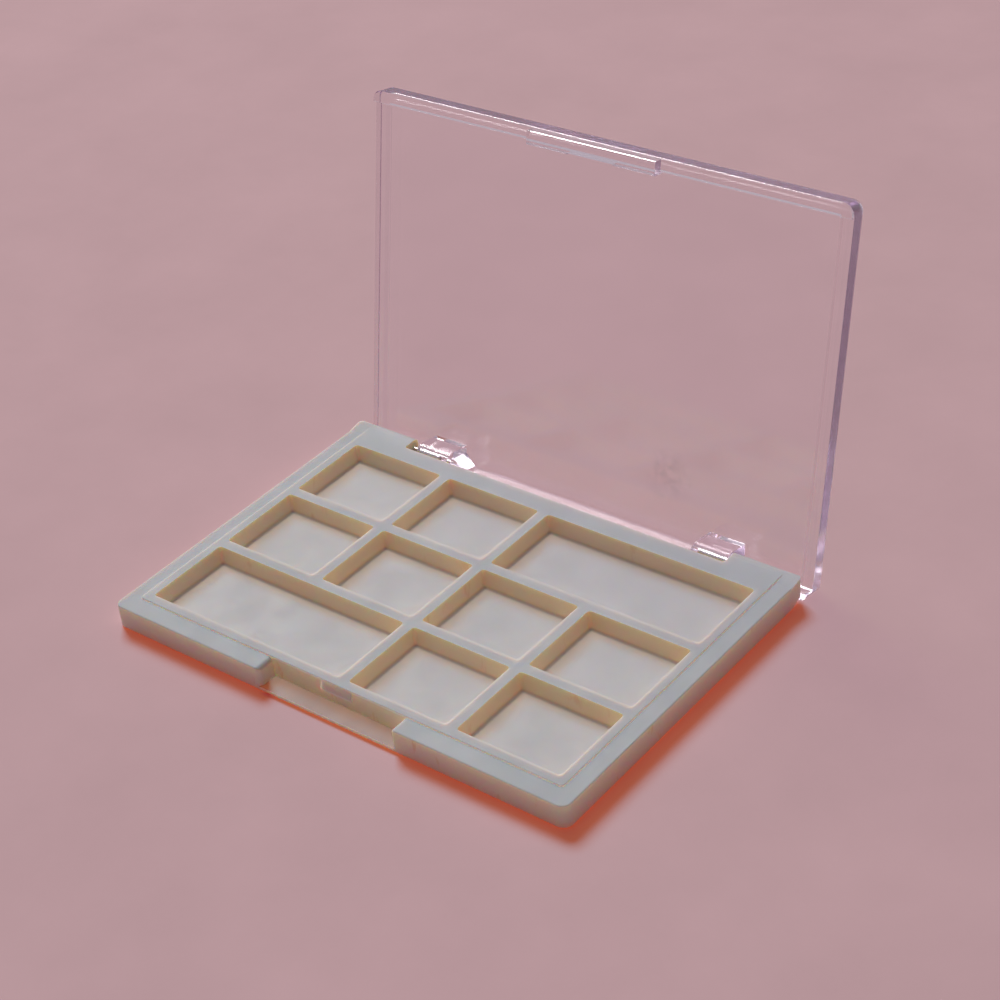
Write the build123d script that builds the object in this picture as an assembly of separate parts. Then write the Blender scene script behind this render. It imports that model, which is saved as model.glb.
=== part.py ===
from build123d import *
import math
import os

# Hinged ten-well palette: ivory tray, clear lid, two steel hinge pins. Millimetres.
# The origin is the middle of the tray's underside, +X to the right along the front,
# +Y to the hinge side, +Z up. The lid is drawn shut, then turned to its open rest pose.

# Tray, outside
TRAY_WIDTH = 104.0
TRAY_DEPTH = 72.8
LEDGE_TOP = 5.0          # low ledge that carries the lid's front rim
PLATEAU_TOP = 5.4        # raised field around the wells
FLOOR = 1.2              # plastic under the wells
CORNER_RADIUS = 1.9
FOOT_EDGE = 0.5          # radius under the tray's outer edge
LEDGE_EDGE = 0.3         # radius along the top of its outer edge
FIELD_CORNER = 0.8
FIELD_EDGE = 0.15
FRONT_LEDGE = 3.9
SIDE_LEDGE = 3.3

# Wells: four columns and three rows of equal cells, two cells of double width
CELL_WIDTH = 21.8
CELL_DEPTH = 18.1
RIB = 2.2
WELLS_FRONT = -30.6      # Y of the front row's front wall
WELL_CORNER = 0.7
WELL_FOOT = 0.65         # rounding between floor and wall

# Rear of the tray: a recess between two ears that carry the pins
EAR_INNER = 37.7
RECESS_DEPTH = 4.2
RECESS_CORNER = 0.5
EAR_TOP_RADIUS = 1.2
RAMP_LENGTH = 4.5        # slope under each ear, room for the lid's rear skirt
RAMP_HEIGHT = 2.3
STRIP_DEPTH = 4.4        # rear strip, level with the raised field
STRIP_RISE = 2.6         # length over which the ledges run up to it

# Finger notch in the middle of the front
NOTCH_HALF = 15.2
NOTCH_FLOOR = 1.0
NOTCH_CORNER = 1.0

# Wedge on the notch's back wall: half width, how far it stands out, and its heights
NUB_HALF = 3.5
NUB_OUT = 0.55
NUB_TOP = PLATEAU_TOP - 0.3
NUB_NOSE_TOP = 3.7
NUB_NOSE_FOOT = 3.2
NUB_FOOT = 2.9

# Hinge
HINGE_Y = 35.1
HINGE_Z = 3.25
PIN_RADIUS = 0.60
PRESS = 0.01             # the ears grip the pins by this much
RUNNING = 0.06           # the lid's knuckles turn freely on them
PIN_INNER_END = 30.6
PIN_OUTER_END = 44.0
OPEN_ANGLE = 101.0
SIDE_PLAY = 0.9          # the lid has slid this far right on its pins

# Lid, as it lies shut
LID_FRONT = -35.8
LID_REAR = 38.2
LID_TOP = 9.05
PANEL = 1.3
SIDE_RIM = 2.5
FRONT_RIM = 2.4
SKIRT_INNER = 36.65
SIDE_RIM_FOOT = 6.05
FRONT_RIM_FOOT = 5.15
SKIRT_FOOT = 4.15
LID_EDGE = 0.28          # radius round the lid's outer face
HOLLOW_CORNER = 0.8
REAR_SLANT = 11.0        # degrees, so that the open lid stands flat on its rear face

# Hinge knuckles, the blocks under the lid's rear
KNUCKLE_OUTER = 36.5
KNUCKLE_INNER = 28.9
KNUCKLE_FLARE = 2.3
KNUCKLE_RADIUS = 2.2

# Latch bar under the middle of the front rim
BAR_HALF = 14.0
BAR_FOOT = 3.35
BAR_INNER = -33.1
BAR_RELIEF_HALF = 5.0
BAR_EDGE = 0.2           # radius along the foot of the latch bar
RIM_EDGE = 0.3           # radius along the inner foot of the front rim

OVERLAP = 0.5            # how far joined pieces of one moulding reach into each other

half_w = TRAY_WIDTH / 2
half_d = TRAY_DEPTH / 2
recess_y = half_d - RECESS_DEPTH


def block(x0, x1, y0, y1, z0, z1):
    """A box between two opposite corners."""
    size = Box(x1 - x0, y1 - y0, z1 - z0)
    return Pos((x0 + x1) / 2, (y0 + y1) / 2, (z0 + z1) / 2) * size


def prism_along_x(points, x0, x1):
    """A (Y, Z) polygon carried from x0 to x1."""
    wire = Polyline(*[(x0, y, z) for y, z in points], close=True)
    return extrude(make_face(wire), amount=x1 - x0, dir=(1, 0, 0))


def prism_along_z(points, z0, z1):
    """An (X, Y) polygon carried from z0 to z1."""
    wire = Polyline(*[(x, y, z0) for x, y in points], close=True)
    return extrude(make_face(wire), amount=z1 - z0, dir=(0, 0, 1))


def rod(x0, x1, radius, y=HINGE_Y, z=HINGE_Z):
    """A round bar along X."""
    bar = Cylinder(radius, abs(x1 - x0))
    return Pos((x0 + x1) / 2, y, z) * Rot(0, 90, 0) * bar


def upright_edges(shape, x_min, y_min=-1e3, y_max=1e3):
    """The vertical edges standing further out than x_min, between two Y values."""
    found = []
    for edge in shape.edges().filter_by(Axis.Z):
        middle = edge.center()
        if abs(middle.X) > x_min and y_min < middle.Y < y_max:
            found.append(edge)
    return found


def cell_left(column):
    """X of the left wall of a column, counted from the left."""
    pitch = CELL_WIDTH + RIB
    return -2 * CELL_WIDTH - 1.5 * RIB + column * pitch


def cell_front(row):
    """Y of the front wall of a row, counted from the front."""
    return WELLS_FRONT + row * (CELL_DEPTH + RIB)


def well(row, first, last):
    """The hollow of one well, from its first to its last column, rounded at the foot."""
    x0 = cell_left(first)
    x1 = cell_left(last) + CELL_WIDTH
    y0 = cell_front(row)
    y1 = y0 + CELL_DEPTH
    hollow = block(x0, x1, y0, y1, FLOOR, PLATEAU_TOP + 2.0)
    hollow = fillet(hollow.edges().filter_by(Axis.Z), WELL_CORNER)
    foot = hollow.faces().sort_by(Axis.Z)[0]
    return fillet(foot.edges(), WELL_FOOT)


# (row, first column, last column), front row first
WELLS = [
    (0, 0, 1), (0, 2, 2), (0, 3, 3),
    (1, 0, 0), (1, 1, 1), (1, 2, 2), (1, 3, 3),
    (2, 0, 0), (2, 1, 1), (2, 2, 3),
]


def make_tray():
    body = block(-half_w, half_w, -half_d, half_d, 0, LEDGE_TOP)
    body = fillet(body.edges().filter_by(Axis.Z), CORNER_RADIUS)
    body = fillet(body.faces().sort_by(Axis.Z)[0].edges(), FOOT_EDGE)
    body = fillet(body.faces().sort_by(Axis.Z)[-1].edges(), LEDGE_EDGE)

    # Raised field, with a lower ledge along the front and both sides.
    field_x = half_w - SIDE_LEDGE
    field = block(-field_x, field_x, -half_d + FRONT_LEDGE, half_d - 2, LEDGE_TOP - 1, PLATEAU_TOP)
    field = fillet(upright_edges(field, field_x - 1, y_max=0), FIELD_CORNER)
    front_top = field.faces().sort_by(Axis.Z)[-1].edges()
    keep = [e for e in front_top if e.center().Y < half_d - 3]
    field = fillet(keep, FIELD_EDGE)

    # Rear strip at the height of the raised field, with the ledges running up to it.
    rise = half_d - STRIP_DEPTH
    flat = rise + STRIP_RISE
    profile = [
        (rise, LEDGE_TOP - 0.02), (flat, PLATEAU_TOP), (half_d, PLATEAU_TOP),
        (half_d, FLOOR), (rise, FLOOR),
    ]
    strip = prism_along_x(profile, -half_w, half_w)
    strip = fillet(upright_edges(strip, half_w - 1, y_min=half_d - 1), CORNER_RADIUS)
    body = body + field + strip

    # Round the top of the rear end.
    round_y = half_d - EAR_TOP_RADIUS
    round_z = PLATEAU_TOP - EAR_TOP_RADIUS
    far = half_w + 1
    spare = block(-far, far, round_y, half_d + 1, round_z, PLATEAU_TOP + 1)
    body = body - (spare - rod(-far - 1, far + 1, EAR_TOP_RADIUS, round_y, round_z))

    # Recess for the lid's knuckles, with soft outer corners.
    recess = block(-EAR_INNER, EAR_INNER, recess_y, half_d + 5, -1, PLATEAU_TOP + 2)
    recess = fillet(upright_edges(recess, EAR_INNER - 1, y_max=half_d), RECESS_CORNER)
    body = body - recess

    # Slope under the ears.
    ramp = prism_along_x(
        [(half_d - RAMP_LENGTH, -0.001), (half_d + 1, -0.001),
         (half_d + 1, RAMP_HEIGHT * (RAMP_LENGTH + 1) / RAMP_LENGTH)],
        -half_w - 1, half_w + 1,
    )
    body = body - ramp

    # Finger notch, with a thin floor left in place.
    notch_back = -half_d + FRONT_LEDGE
    notch = block(-NOTCH_HALF, NOTCH_HALF, -half_d - 3, notch_back, NOTCH_FLOOR, PLATEAU_TOP + 2)
    body = body - notch
    lips = []
    for edge in body.edges().filter_by(Axis.Z):
        middle = edge.center()
        if abs(abs(middle.X) - NOTCH_HALF) < 0.01 and middle.Y < -half_d + 0.5 and middle.Z > 2:
            lips.append(edge)
    if lips:
        body = fillet(lips, NOTCH_CORNER)

    for row, first, last in WELLS:
        body = body - well(row, first, last)

    # Wedge on the notch's back wall that the lid's latch bar snaps behind.
    nub = prism_along_x(
        [(notch_back + OVERLAP, NUB_TOP), (notch_back, NUB_TOP),
         (notch_back - NUB_OUT, NUB_NOSE_TOP), (notch_back - NUB_OUT, NUB_NOSE_FOOT),
         (notch_back, NUB_FOOT), (notch_back + OVERLAP, NUB_FOOT)],
        -NUB_HALF, NUB_HALF,
    )
    body = body + nub

    # Blind holes for the pins, opening into the recess.
    for side in (-1, 1):
        body = body - rod(side * (EAR_INNER - 1), side * PIN_OUTER_END, PIN_RADIUS - PRESS)
    return body


def make_knuckle(side):
    """One hinge block under the lid's rear, round below the pin."""
    front = HINGE_Y - KNUCKLE_RADIUS
    plan = [
        (side * KNUCKLE_OUTER, front), (side * KNUCKLE_INNER, front),
        (side * KNUCKLE_INNER, SKIRT_INNER - KNUCKLE_FLARE),
        (side * (KNUCKLE_INNER - KNUCKLE_FLARE), SKIRT_INNER),
        (side * (KNUCKLE_INNER - KNUCKLE_FLARE), SKIRT_INNER + 0.6),
        (side * KNUCKLE_OUTER, SKIRT_INNER + 0.6),
    ]
    upper = prism_along_z(plan, HINGE_Z, LID_TOP - PANEL + 0.3)
    # Keep the part behind the pin above the line from the pin to the skirt's foot.
    under = prism_along_x(
        [(HINGE_Y + KNUCKLE_RADIUS - 0.05, HINGE_Z - 1), (HINGE_Y + KNUCKLE_RADIUS - 0.05, HINGE_Z),
         (SKIRT_INNER + 0.7, SKIRT_FOOT + 0.3), (SKIRT_INNER + 0.7, HINGE_Z - 1)],
        -half_w, half_w,
    )
    lower = rod(side * KNUCKLE_INNER, side * KNUCKLE_OUTER, KNUCKLE_RADIUS)
    return (upper - under) + lower


def make_lid():
    outer = block(-half_w, half_w, LID_FRONT, LID_REAR, SKIRT_FOOT, LID_TOP)
    outer = fillet(outer.edges().filter_by(Axis.Z), CORNER_RADIUS)
    outer = fillet(outer.faces().sort_by(Axis.Z)[-1].edges(), LID_EDGE)

    # Side rims stop highest, the front rim a little lower, the rear skirt lowest.
    far = half_w + 1
    inner_front = LID_FRONT + FRONT_RIM
    outer = outer - block(-far, far, inner_front, SKIRT_INNER, SKIRT_FOOT - 1, SIDE_RIM_FOOT)
    outer = outer - block(-far, far, LID_FRONT - 1, inner_front, SKIRT_FOOT - 1, FRONT_RIM_FOOT)

    # Hollow inside of the lid.
    inner_x = half_w - SIDE_RIM
    hollow = block(-inner_x, inner_x, inner_front, SKIRT_INNER, SKIRT_FOOT - 1, LID_TOP - PANEL)
    hollow = fillet(hollow.edges().filter_by(Axis.Z), HOLLOW_CORNER)
    shell = outer - hollow
    rim_edges = []
    for edge in shell.edges().filter_by(Axis.X):
        middle = edge.center()
        if abs(middle.Y - inner_front) < 0.01 and abs(middle.Z - FRONT_RIM_FOOT) < 0.01:
            rim_edges.append(edge)
    shell = fillet(rim_edges, RIM_EDGE)

    # Slanted rear face.
    lean = (LID_TOP + 1 - SKIRT_FOOT) * math.tan(math.radians(REAR_SLANT))
    wedge = prism_along_x(
        [(LID_REAR, SKIRT_FOOT), (LID_REAR + 2, SKIRT_FOOT),
         (LID_REAR + 2, LID_TOP + 1), (LID_REAR - lean, LID_TOP + 1)],
        -far, far,
    )
    shell = shell - wedge

    # Latch bar under the front rim, relieved in the middle for the tray's wedge.
    bar = block(-BAR_HALF, BAR_HALF, LID_FRONT, BAR_INNER, BAR_FOOT, FRONT_RIM_FOOT + 0.6)
    foot_edges = [
        e for e in bar.edges().filter_by(Axis.X) if e.center().Z < BAR_FOOT + 0.1
    ]
    bar = fillet(foot_edges, BAR_EDGE)
    relief = block(-BAR_RELIEF_HALF, BAR_RELIEF_HALF, BAR_INNER - 0.3, BAR_INNER + 1,
                   BAR_FOOT - 1, FRONT_RIM_FOOT + 2)
    shell = shell + (bar - relief)

    for side in (-1, 1):
        shell = shell + make_knuckle(side)
        bore = rod(side * (KNUCKLE_INNER - 4), side * (KNUCKLE_OUTER + 1), PIN_RADIUS + RUNNING)
        shell = shell - bore
    return shell


def make_pin(side):
    """A straight steel pin, pressed into the ear and running in the knuckle."""
    pin = rod(side * PIN_INNER_END, side * (PIN_OUTER_END - 0.3), PIN_RADIUS)
    ends = pin.edges().filter_by(GeomType.CIRCLE)
    return chamfer(ends, 0.12)


def opened(shape):
    """Turn a piece of the lid from shut to its open rest pose, at the right end of its play."""
    hinge = Axis((0, HINGE_Y, HINGE_Z), (1, 0, 0))
    return Pos(SIDE_PLAY, 0, 0) * shape.rotate(hinge, -OPEN_ANGLE)


def main():
    os.makedirs("parts", exist_ok=True)
    pieces = {
        "tray": make_tray(),
        "lid": opened(make_lid()),
        "hinge_pin_left": make_pin(-1),
        "hinge_pin_right": make_pin(1),
    }
    for name, shape in pieces.items():
        solids = shape.solids()
        piece = solids[0] if len(solids) == 1 else Compound(children=list(solids))
        export_step(piece, "parts/" + name + ".step")


main()
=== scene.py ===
import math

import bpy
from mathutils import Matrix, Vector

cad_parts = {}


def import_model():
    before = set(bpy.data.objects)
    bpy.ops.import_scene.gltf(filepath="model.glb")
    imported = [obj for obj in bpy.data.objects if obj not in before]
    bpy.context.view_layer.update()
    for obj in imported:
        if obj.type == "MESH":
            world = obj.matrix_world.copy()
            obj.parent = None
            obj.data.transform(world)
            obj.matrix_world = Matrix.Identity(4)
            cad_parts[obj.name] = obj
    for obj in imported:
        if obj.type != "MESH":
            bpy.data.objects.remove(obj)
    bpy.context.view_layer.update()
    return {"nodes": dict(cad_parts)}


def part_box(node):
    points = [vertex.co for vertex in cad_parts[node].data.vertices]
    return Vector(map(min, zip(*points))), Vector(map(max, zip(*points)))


# Looks of the hinged ten-well palette: ivory tray, clear lid, steel hinge pins. Metres.
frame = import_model()

MM = 0.001

# Camera: a hand-held view down on the front right corner.
CAMERA_PLACE = (0.2205, -0.2410, 0.2473)
CAMERA_AZIMUTH = 43.98      # 0 looks along +Y, 90 along -X
CAMERA_ELEVATION = 35.62
CAMERA_ROLL = -7.66
SENSOR = 36.0
LENS = 80.14
SHIFT = (0.100, 0.060)

# Light: one big soft lamp behind and to the left, and an even room.
KEY_FROM = (-7.68, 5.64, 10.24)
KEY_SIZE = 5.2
KEY_POWER = 1700.0
KEY_COLOUR = (1.0, 0.98, 0.95)
ROOM_LIGHT = (0.075, 0.08, 0.09)    # what the room adds to the light
ROOM_SEEN = (0.47, 0.41, 0.46)      # what gloss, clear plastic and the camera show of it
LIGHT_BOUNCES = 64                  # light is passed on many times inside the lid's rims

FLOOR_COLOUR = (0.684, 0.445, 0.480)
FLOOR_HALF = 3.0

# Ivory plastic, in lit and shaded copies of one colour: each pair is the range over which a surface's
# colour drifts.
# Painted sheen: the tops get a darker, cool grey copy of the ivory.
PAINTED_RIM_SHEEN = ((0.45, 0.467, 0.50), (0.48, 0.497, 0.53))
# Painted light: the well floors get a paler, pinkish copy of the ivory.
PAINTED_WELL_FLOOR_LIGHT = ((0.525, 0.517, 0.545), (0.54, 0.527, 0.558))
# Painted glow: the inner walls and, lighter still, the outer faces get warm tan copies of the ivory.
PAINTED_INNER_WALL_GLOW = ((0.92, 0.80, 0.61), (0.95, 0.83, 0.65))
PAINTED_OUTER_FACE_GLOW = ((0.98, 0.90, 0.78), (1.0, 0.93, 0.82))
# Painted shade: the floor of the finger notch gets a darker pinkish copy.
PAINTED_NOTCH_FLOOR_SHADE = (0.42, 0.31, 0.29)
# Painted highlight: the small step round the raised field and the latch wedge get a pale colour.
PAINTED_PALE_HIGHLIGHT = (1.0, 0.98, 0.95)
FLOW_MARK_COLOUR = (0.84, 0.66, 0.45)
IVORY_SCATTER = (1.0, 0.50, 0.26)   # how far red, green and blue spread inside it
IVORY_SCATTER_DEPTH = 3.3 * MM

# What the tray leaves of the lamp's light that enters by its inner and outer faces.
INNER_TINT = (1.0, 1.0, 1.0)
OUTER_TINT = (0.74, 0.245, 0.032)
IVORY_ABSORPTION = {"Color": (0.877, 0.513, 0.147, 1.0), "Density": 200.0}

# Clear plastic
CLEAR_COLOUR = (0.985, 0.98, 0.995)
CLEAR_TINT = (0.98, 0.97, 0.985)
CLEAR_ABSORPTION = {"Color": (0.70, 0.58, 0.76, 1.0), "Density": 24.0}
SCUFF_COLOUR = (0.80, 0.79, 0.81)
SCUFF_SHARE = (0.678, 0.402, 0.174)  # where the scuff lies within the open lid's box
SCUFF_INNER = 1.0 * MM
SCUFF_OUTER = 6.0 * MM

# Zones of the tray, each as the start and end of a blend, measured from its box.
SIDE_SKIN = (2.5 * MM, 2.0 * MM)      # in from either side
FRONT_SKIN = (1.9 * MM, 2.4 * MM)     # in from the front
BESIDE_FIELD = (3.6 * MM, 3.4 * MM)   # in from either side, to the step round the field
BEFORE_WELLS = (4.0 * MM, 4.6 * MM)   # in from the front
STEP_HEIGHT = (0.55 * MM, 0.40 * MM)  # down from the top
ABOVE_FLOORS = (1.6 * MM, 2.4 * MM)   # up from the underside
WEDGE_HALF = (3.5 * MM, 3.6 * MM)     # out from the middle
WEDGE_FRONT = (3.82 * MM, 3.88 * MM)  # in from the front
WEDGE_FOOT = (3.2 * MM, 3.5 * MM)     # up from the underside

# Surface detail: scales are features per metre, each range is where the noise takes effect.
IVORY_CLOUDS = 45.0
IVORY_ROUGHNESS = (0.46, 0.60)
IVORY_ROUGHNESS_CLOUDS = 160.0
IVORY_BUMPS = 0.5
IVORY_WAVES = 70.0
IVORY_WAVE_HEIGHT = 0.05 * MM
IVORY_GRAIN = 2200.0
IVORY_GRAIN_HEIGHT = 0.012 * MM
# The blend by normal paints light: tops a darker cool sheen, standing faces a lighter warm glow.
STANDING_TO_LYING = (0.20, 0.90)    # a face's normal, from the wall colours to the tops' colours
FLOW_MARKS = 330.0
FLOW_STRETCH = (1.0, 1.0, 0.35)
FLOW_RANGE = (0.62, 0.72)
FLOW_STRENGTH = 0.7
CLEAR_ROUGHNESS = (0.06, 0.12)
SMUDGES = 38.0
SMUDGE_RANGE = (0.42, 0.72)
SCRATCHES = 500.0
SCRATCH_RANGE = (0.46, 0.62)
SCUFF_ROUGHNESS = 0.30
RIPPLES = 25.0
RIPPLE_BUMPS = 0.1
RIPPLE_HEIGHT = 0.01 * MM
STEEL_COLOURS = ((0.50, 0.49, 0.48), (0.66, 0.66, 0.67))
STEEL_ROUGHNESS = (0.18, 0.36)
STEEL_RINGS = 900.0
STEEL_STRETCH = (6.0, 0.4, 0.4)
STEEL_BUMPS = 0.4
STEEL_RING_HEIGHT = 0.01 * MM
FLOOR_MOTTLE = 30.0
FLOOR_DARKEST = 0.96
FLOOR_LIGHTEST = 1.03
FLOOR_GRAIN = 1500.0
FLOOR_BUMPS = 0.3
FLOOR_GRAIN_HEIGHT = 0.02 * MM

WHITE = (1.0, 1.0, 1.0)
MATT_DEPTH = 0.5                    # a ray with a diffuse depth over this has met a matt surface
MIX_SHARE = 0                       # the sockets of a Mix node that is set to colours
MIX_FIRST = 6
MIX_SECOND = 7
MIX_RESULT = 2

tray_low, tray_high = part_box("tray")
lid_low, lid_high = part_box("lid")


def add(tree, kind, sockets=None, **attributes):
    """A new node with its attributes and the values of its sockets set."""
    made = tree.nodes.new(kind)
    for name, value in attributes.items():
        setattr(made, name, value)
    for name, value in (sockets or {}).items():
        made.inputs[name].default_value = value
    return made


def start_material(name):
    """An empty material with its output node, and the coordinates its patterns use."""
    material = bpy.data.materials.new(name)
    material.use_nodes = True
    tree = material.node_tree
    tree.nodes.clear()
    out = add(tree, "ShaderNodeOutputMaterial")
    place = add(tree, "ShaderNodeTexCoord")
    return material, tree, out, place.outputs["Object"]


def noise(tree, place, scale, detail=3.0, roughness=0.5):
    """Fractal noise with its features about 1 / scale metres wide."""
    made = add(tree, "ShaderNodeTexNoise",
               {"Scale": scale, "Detail": detail, "Roughness": roughness})
    tree.links.new(place, made.inputs["Vector"])
    return made.outputs["Fac"]


def ranged(tree, value, low, high, start=0.3, stop=0.7):
    """Carries a value from start..stop to low..high."""
    made = add(tree, "ShaderNodeMapRange",
               {"From Min": start, "From Max": stop, "To Min": low, "To Max": high})
    tree.links.new(value, made.inputs["Value"])
    return made.outputs["Result"]


def blended(tree, share, first, second):
    """A colour between two, each a colour or an output."""
    made = add(tree, "ShaderNodeMix", data_type="RGBA")
    tree.links.new(share, made.inputs[MIX_SHARE])
    for socket, colour in ((MIX_FIRST, first), (MIX_SECOND, second)):
        if isinstance(colour, tuple):
            made.inputs[socket].default_value = (*colour, 1.0)
        else:
            tree.links.new(colour, made.inputs[socket])
    return made.outputs[MIX_RESULT]


def joined(tree, operation, *values):
    """One number made from one or two, by a named operation."""
    made = add(tree, "ShaderNodeMath", operation=operation)
    for socket, value in enumerate(values):
        if isinstance(value, float):
            made.inputs[socket].default_value = value
        else:
            tree.links.new(value, made.inputs[socket])
    return made.outputs[0]


def bumped(tree, heights, strength):
    """A chain of bumps, one for each (height output, distance)."""
    normal = None
    for height, distance in heights:
        made = add(tree, "ShaderNodeBump", {"Strength": strength, "Distance": distance})
        tree.links.new(height, made.inputs["Height"])
        if normal is not None:
            tree.links.new(normal, made.inputs["Normal"])
        normal = made.outputs["Normal"]
    return normal


def let_lamps_through(tree, out, shader, tint, room_too=False):
    """Lamps reach what lies behind the shader, tinted once for each wall they enter.

    With room_too the light of the room gets through in the same way.
    """
    entering = add(tree, "ShaderNodeNewGeometry").outputs["Backfacing"]
    clear = add(tree, "ShaderNodeBsdfTransparent")
    colour = blended(tree, entering, tint, WHITE)
    tree.links.new(colour, clear.inputs["Color"])
    mix = add(tree, "ShaderNodeMixShader")
    path = add(tree, "ShaderNodeLightPath")
    share = path.outputs["Is Shadow Ray"]
    if room_too:
        scattered = joined(tree, "GREATER_THAN", path.outputs["Diffuse Depth"], MATT_DEPTH)
        share = joined(tree, "MAXIMUM", share, scattered)
    tree.links.new(share, mix.inputs[0])
    tree.links.new(shader.outputs[0], mix.inputs[1])
    tree.links.new(clear.outputs[0], mix.inputs[2])
    tree.links.new(mix.outputs[0], out.inputs["Surface"])


def past(edge, zone):
    """The start and end of a zone measured up from an edge."""
    return edge + zone[0], edge + zone[1]


def before(edge, zone):
    """The start and end of a zone measured back from an edge."""
    return edge - zone[0], edge - zone[1]


def wedge_area(tree, at, across):
    """One on the latch wedge in the finger notch, zero elsewhere."""
    middle = ranged(tree, across, 1.0, 0.0, *WEDGE_HALF)
    out_front = ranged(tree, at.outputs["Y"], 1.0, 0.0, *past(tray_low[1], WEDGE_FRONT))
    above = ranged(tree, at.outputs["Z"], 0.0, 1.0, *past(tray_low[2], WEDGE_FOOT))
    return joined(tree, "MULTIPLY", joined(tree, "MULTIPLY", middle, out_front), above)


def ivory_plastic():
    """Milky moulded plastic, with a painted cool sheen on the faces that look up and a painted warm
    glow on the ones that stand.
    """
    material, tree, out, place = start_material("ivory_plastic")
    shader = add(tree, "ShaderNodeBsdfPrincipled", {
        "Subsurface Weight": 1.0,
        "Subsurface Radius": IVORY_SCATTER,
        "Subsurface Scale": IVORY_SCATTER_DEPTH,
        "IOR": 1.49,
        "Specular IOR Level": 0.22,
    })
    cloud = ranged(tree, noise(tree, place, IVORY_CLOUDS), 0.0, 1.0)
    rims = blended(tree, cloud, *PAINTED_RIM_SHEEN)
    well_floor_light = blended(tree, cloud, *PAINTED_WELL_FLOOR_LIGHT)
    inner_wall_glow = blended(tree, cloud, *PAINTED_INNER_WALL_GLOW)
    outer_face_glow = blended(tree, cloud, *PAINTED_OUTER_FACE_GLOW)
    at = add(tree, "ShaderNodeSeparateXYZ")
    tree.links.new(place, at.inputs[0])
    across = joined(tree, "ABSOLUTE", at.outputs["X"])
    side = ranged(tree, across, 0.0, 1.0, *before(tray_high[0], SIDE_SKIN))
    front = ranged(tree, at.outputs["Y"], 1.0, 0.0, *past(tray_low[1], FRONT_SKIN))
    skin = joined(tree, "MAXIMUM", side, front)
    raised = ranged(tree, at.outputs["Z"], 0.0, 1.0, *past(tray_low[2], ABOVE_FLOORS))
    before_wells = ranged(tree, at.outputs["Y"], 1.0, 0.0, *past(tray_low[1], BEFORE_WELLS))
    # Painted shade: the notch floor in front of the wells takes the darker notch colour.
    low = blended(tree, before_wells, well_floor_light, PAINTED_NOTCH_FLOOR_SHADE)
    facing_up = blended(tree, raised, low, rims)
    normal = add(tree, "ShaderNodeSeparateXYZ")
    tree.links.new(add(tree, "ShaderNodeNewGeometry").outputs["Normal"], normal.inputs[0])
    upward = ranged(tree, normal.outputs["Z"], 0.0, 1.0, *STANDING_TO_LYING)
    # The small step round the raised field and the latch wedge get a painted highlight, a paler
    # colour.
    beside = ranged(tree, across, 0.0, 1.0, *before(tray_high[0], BESIDE_FIELD))
    beside = joined(tree, "MAXIMUM", beside, before_wells)
    near_top = ranged(tree, at.outputs["Z"], 0.0, 1.0, *before(tray_high[2], STEP_HEIGHT))
    step = joined(tree, "MULTIPLY", beside, near_top)
    outside = joined(tree, "MAXIMUM", side, before_wells)
    # Painted glow: standing faces get warm tan, the outer ones lighter than the inner walls.
    standing = blended(tree, outside, inner_wall_glow, outer_face_glow)
    # Faint flow marks where the plastic met in the mould.
    flow = add(tree, "ShaderNodeMapping", {"Scale": FLOW_STRETCH})
    tree.links.new(place, flow.inputs["Vector"])
    marks = noise(tree, flow.outputs[0], FLOW_MARKS, 4.0, 0.6)
    marks = ranged(tree, marks, 0.0, FLOW_STRENGTH, *FLOW_RANGE)
    standing = blended(tree, marks, standing, FLOW_MARK_COLOUR)
    paler = joined(tree, "MAXIMUM", step, wedge_area(tree, at, across))
    standing = blended(tree, paler, standing, PAINTED_PALE_HIGHLIGHT)
    # Painted light: faces that look up get the painted sheen and floor colours, standing faces the
    # painted glow.
    tree.links.new(blended(tree, upward, standing, facing_up), shader.inputs["Base Color"])
    roughness = ranged(tree, noise(tree, place, IVORY_ROUGHNESS_CLOUDS), *IVORY_ROUGHNESS)
    tree.links.new(roughness, shader.inputs["Roughness"])
    heights = [
        (noise(tree, place, IVORY_WAVES, 2.0), IVORY_WAVE_HEIGHT),
        (noise(tree, place, IVORY_GRAIN, 4.0, 0.6), IVORY_GRAIN_HEIGHT),
    ]
    tree.links.new(bumped(tree, heights, IVORY_BUMPS), shader.inputs["Normal"])
    depth = add(tree, "ShaderNodeVolumeAbsorption", IVORY_ABSORPTION)
    tree.links.new(depth.outputs[0], out.inputs["Volume"])
    tint = blended(tree, skin, INNER_TINT, OUTER_TINT)
    let_lamps_through(tree, out, shader, tint)
    return material


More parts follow.
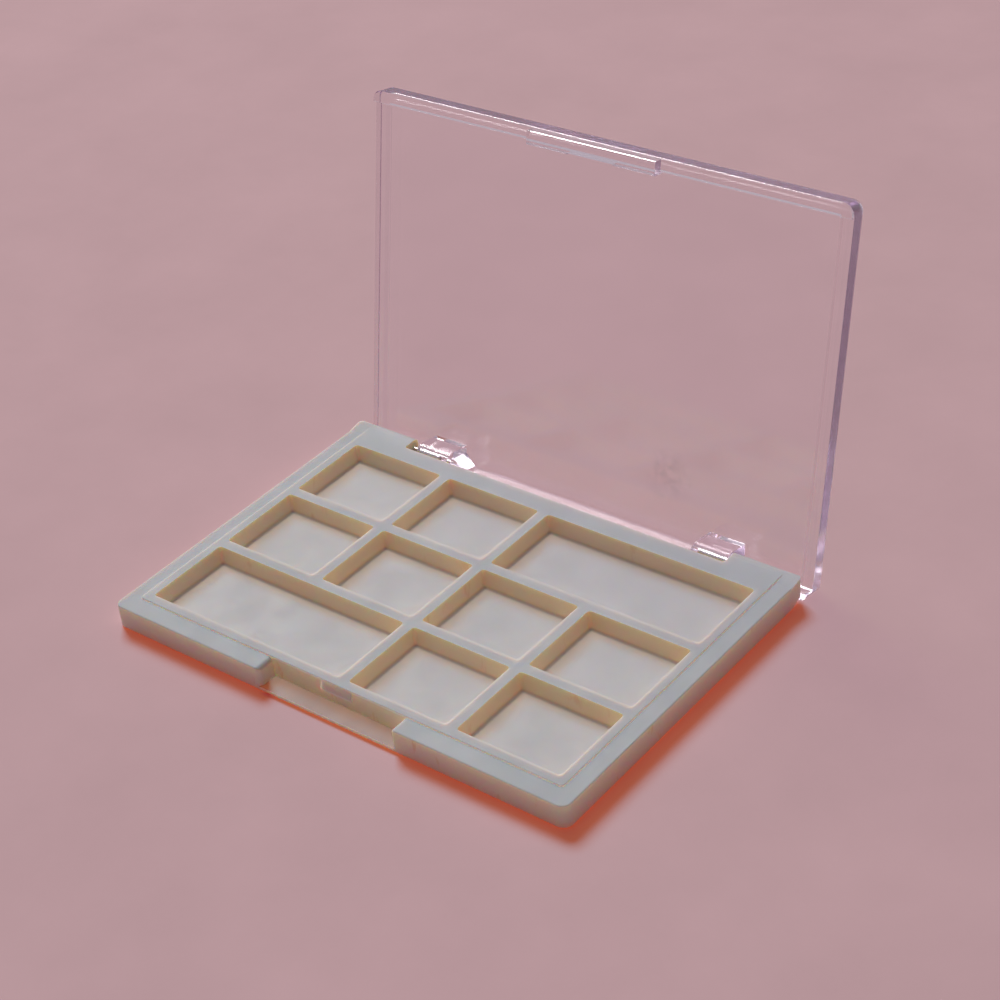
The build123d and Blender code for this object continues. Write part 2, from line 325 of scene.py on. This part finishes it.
def clear_plastic():
    """Polished clear plastic with a faint violet cast that deepens along its edges."""
    material, tree, out, place = start_material("clear_plastic")
    shader = add(tree, "ShaderNodeBsdfPrincipled", {
        "Transmission Weight": 1.0,
        "IOR": 1.50,
    })
    smudge = noise(tree, place, SMUDGES, 5.0, 0.65)
    smudge = ranged(tree, smudge, *CLEAR_ROUGHNESS, *SMUDGE_RANGE)
    # A small scuff low on the right half of the lid.
    scuff_at = tuple(low + share * (high - low)
                     for low, high, share in zip(lid_low, lid_high, SCUFF_SHARE))
    away = add(tree, "ShaderNodeVectorMath", {1: scuff_at}, operation="DISTANCE")
    tree.links.new(place, away.inputs[0])
    near = ranged(tree, away.outputs["Value"], 1.0, 0.0, SCUFF_INNER, SCUFF_OUTER)
    scratched = ranged(tree, noise(tree, place, SCRATCHES, 3.0, 0.6), 0.0, 1.0, *SCRATCH_RANGE)
    scuff = joined(tree, "MULTIPLY", near, scratched)
    dulled = ranged(tree, scuff, 0.0, SCUFF_ROUGHNESS, 0.0, 1.0)
    tree.links.new(joined(tree, "MAXIMUM", smudge, dulled), shader.inputs["Roughness"])
    tree.links.new(blended(tree, scuff, CLEAR_COLOUR, SCUFF_COLOUR), shader.inputs["Base Color"])
    ripple = [(noise(tree, place, RIPPLES, 1.0), RIPPLE_HEIGHT)]
    tree.links.new(bumped(tree, ripple, RIPPLE_BUMPS), shader.inputs["Normal"])
    depth = add(tree, "ShaderNodeVolumeAbsorption", CLEAR_ABSORPTION)
    tree.links.new(depth.outputs[0], out.inputs["Volume"])
    let_lamps_through(tree, out, shader, CLEAR_TINT, room_too=True)
    return material


def pin_steel():
    """Drawn steel wire with fine marks round it."""
    material, tree, out, place = start_material("pin_steel")
    shader = add(tree, "ShaderNodeBsdfPrincipled", {"Metallic": 1.0})
    stretch = add(tree, "ShaderNodeMapping", {"Scale": STEEL_STRETCH})
    tree.links.new(place, stretch.inputs["Vector"])
    rings = noise(tree, stretch.outputs[0], STEEL_RINGS, 4.0)
    tree.links.new(blended(tree, rings, *STEEL_COLOURS), shader.inputs["Base Color"])
    tree.links.new(ranged(tree, rings, *STEEL_ROUGHNESS), shader.inputs["Roughness"])
    grooves = bumped(tree, [(rings, STEEL_RING_HEIGHT)], STEEL_BUMPS)
    tree.links.new(grooves, shader.inputs["Normal"])
    tree.links.new(shader.outputs[0], out.inputs["Surface"])
    return material


def floor_paper():
    """Plain pale pink table top with a faint mottle."""
    material, tree, out, place = start_material("floor_paper")
    shader = add(tree, "ShaderNodeBsdfPrincipled", {
        "Roughness": 0.70,
        "Specular IOR Level": 0.05,
    })
    light = tuple(part * FLOOR_LIGHTEST for part in FLOOR_COLOUR)
    dark = tuple(part * FLOOR_DARKEST for part in FLOOR_COLOUR)
    mottle = ranged(tree, noise(tree, place, FLOOR_MOTTLE, 5.0, 0.6), 0.0, 1.0)
    tree.links.new(blended(tree, mottle, dark, light), shader.inputs["Base Color"])
    grain = [(noise(tree, place, FLOOR_GRAIN, 3.0), FLOOR_GRAIN_HEIGHT)]
    tree.links.new(bumped(tree, grain, FLOOR_BUMPS), shader.inputs["Normal"])
    tree.links.new(shader.outputs[0], out.inputs["Surface"])
    return material


def dress(node, material):
    """Gives a CAD node its material."""
    piece = frame["nodes"][node]
    for held in piece.material_slots:
        held.material = material
    if not piece.material_slots:
        piece.data.materials.append(material)


def make_floor():
    """A plain square table top under the palette."""
    mesh = bpy.data.meshes.new("floor")
    around = ((-1, -1), (1, -1), (1, 1), (-1, 1))
    corners = [(x * FLOOR_HALF, y * FLOOR_HALF, 0.0) for x, y in around]
    mesh.from_pydata(corners, [], [(0, 1, 2, 3)])
    mesh.materials.append(floor_paper())
    floor = bpy.data.objects.new("floor", mesh)
    bpy.context.scene.collection.objects.link(floor)


def make_lamp(name, place, size, power, colour):
    """A square area lamp aimed at the middle of the tray."""
    light = bpy.data.lights.new(name, "AREA")
    light.size = size
    light.energy = power
    light.color = colour
    lamp = bpy.data.objects.new(name, light)
    lamp.location = place
    aim = Vector((0, 0, 0)) - Vector(place)
    lamp.rotation_euler = aim.to_track_quat("-Z", "Y").to_euler()
    bpy.context.scene.collection.objects.link(lamp)


def make_room():
    """An even room: dim as a light, brighter where it is seen before any matt surface."""
    world = bpy.data.worlds.new("room")
    world.use_nodes = True
    tree = world.node_tree
    path = add(tree, "ShaderNodeLightPath")
    seen = joined(tree, "MAXIMUM", path.outputs["Is Glossy Ray"], path.outputs["Is Transmission Ray"])
    seen = joined(tree, "MAXIMUM", seen, path.outputs["Is Camera Ray"])
    straight = joined(tree, "LESS_THAN", path.outputs["Diffuse Depth"], MATT_DEPTH)
    colour = blended(tree, joined(tree, "MULTIPLY", seen, straight), ROOM_LIGHT, ROOM_SEEN)
    tree.links.new(colour, tree.nodes["Background"].inputs["Color"])
    bpy.context.scene.world = world


def make_camera():
    """The camera, from its place and three angles."""
    azimuth = math.radians(CAMERA_AZIMUTH)
    elevation = math.radians(CAMERA_ELEVATION)
    ahead = Vector((-math.sin(azimuth) * math.cos(elevation),
                    math.cos(azimuth) * math.cos(elevation), -math.sin(elevation)))
    right = Vector((math.cos(azimuth), math.sin(azimuth), 0.0))
    turned = Matrix((right, right.cross(ahead), -ahead)).transposed()
    turned = turned @ Matrix.Rotation(math.radians(CAMERA_ROLL), 3, "Z")
    data = bpy.data.cameras.new("camera")
    data.sensor_width = SENSOR
    data.lens = LENS
    data.shift_x, data.shift_y = SHIFT
    data.clip_start = 0.01
    camera = bpy.data.objects.new("camera", data)
    camera.matrix_world = Matrix.Translation(CAMERA_PLACE) @ turned.to_4x4()
    bpy.context.scene.collection.objects.link(camera)
    bpy.context.scene.camera = camera


make_camera()
make_room()
make_floor()
make_lamp("key", KEY_FROM, KEY_SIZE, KEY_POWER, KEY_COLOUR)
bpy.context.scene.view_settings.view_transform = "Standard"
paths = bpy.context.scene.cycles
paths.max_bounces = paths.transmission_bounces = paths.glossy_bounces = LIGHT_BOUNCES

dress("tray", ivory_plastic())
dress("lid", clear_plastic())
steel = pin_steel()
for pin in ("hinge_pin_left", "hinge_pin_right"):
    dress(pin, steel)
